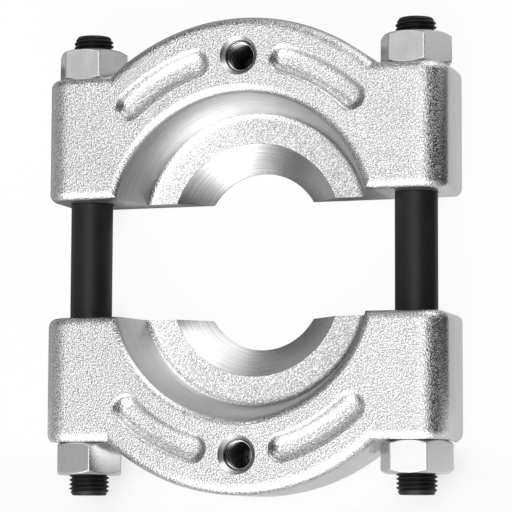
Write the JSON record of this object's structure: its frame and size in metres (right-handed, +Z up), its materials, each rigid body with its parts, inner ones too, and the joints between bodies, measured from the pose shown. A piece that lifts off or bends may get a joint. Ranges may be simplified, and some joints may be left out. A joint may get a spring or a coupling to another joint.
{
  "type": "bearing separator",
  "caption": "Bearing separator: half-ring jaws with inner knife edges, drawn together on parallel studs by hex nuts, with a threaded puller hole in each jaw.",
  "frame": {"origin": "middle of the flat back on which the tool lies, halfway between the two jaws and the two studs", "axes": "+Y along the studs towards the upper jaw, +X from the left stud to the right stud, +Z up from the flat knife-edge side to the recessed side"},
  "size_m": [0.1432, 0.1632, 0.0295],
  "materials": {
    "jaw": "bright zinc over forged and machined steel",
    "nut": "zinc plated",
    "stud": "black oxide"
  },
  "bodies": {
    "lower_jaw": {"lower_jaw": "jaw"},
    "lower_left_nut": {"lower_left_nut": "nut"},
    "lower_right_nut": {"lower_right_nut": "nut"},
    "left_stud": {"left_stud": "stud"},
    "right_stud": {"right_stud": "stud"},
    "upper_jaw": {"upper_jaw": "jaw"},
    "upper_left_nut": {"upper_left_nut": "nut"},
    "upper_right_nut": {"upper_right_nut": "nut"}
  },
  "joints": [
    {"name": "left_stud_slide", "type": "slide", "parent": "lower_jaw", "child": "left_stud", "axis": [0, 1, 0], "range_m": [-0.02, 0.006]},
    {"name": "right_stud_slide", "type": "slide", "parent": "lower_jaw", "child": "right_stud", "axis": [0, 1, 0], "range_m": [-0.02, 0.006]},
    {"name": "lower_left_nut_spin", "type": "hinge", "parent": "lower_jaw", "child": "lower_left_nut", "pos_m": [-0.0588, -0.0687, 0.01475], "axis": [0, 1, 0], "range_deg": [-1440, 4800]},
    {"name": "lower_right_nut_spin", "type": "hinge", "parent": "lower_jaw", "child": "lower_right_nut", "pos_m": [0.0588, -0.0687, 0.01475], "axis": [0, 1, 0], "range_deg": [-1440, 4800]},
    {"name": "upper_jaw_slide", "type": "slide", "parent": "left_stud", "child": "upper_jaw", "axis": [0, 1, 0], "range_m": [-0.02, 0.0045]},
    {"name": "upper_left_nut_spin", "type": "hinge", "parent": "upper_jaw", "child": "upper_left_nut", "pos_m": [-0.0588, 0.0687, 0.01475], "axis": [0, 1, 0], "range_deg": [-4800, 1080]},
    {"name": "upper_right_nut_spin", "type": "hinge", "parent": "upper_jaw", "child": "upper_right_nut", "pos_m": [0.0588, 0.0687, 0.01475], "axis": [0, 1, 0], "range_deg": [-4800, 1080]}
  ],
  "couplings": [
    {"joint": "right_stud_slide", "follows": "left_stud_slide", "ratio": 1},
    {"joint": "lower_left_nut_spin", "follows": "left_stud_slide", "rad_per_m": -4188.8},
    {"joint": "lower_right_nut_spin", "follows": "left_stud_slide", "rad_per_m": -4188.8},
    {"joint": "upper_left_nut_spin", "follows": "upper_jaw_slide", "rad_per_m": 4188.8},
    {"joint": "upper_right_nut_spin", "follows": "upper_jaw_slide", "rad_per_m": 4188.8}
  ]
}
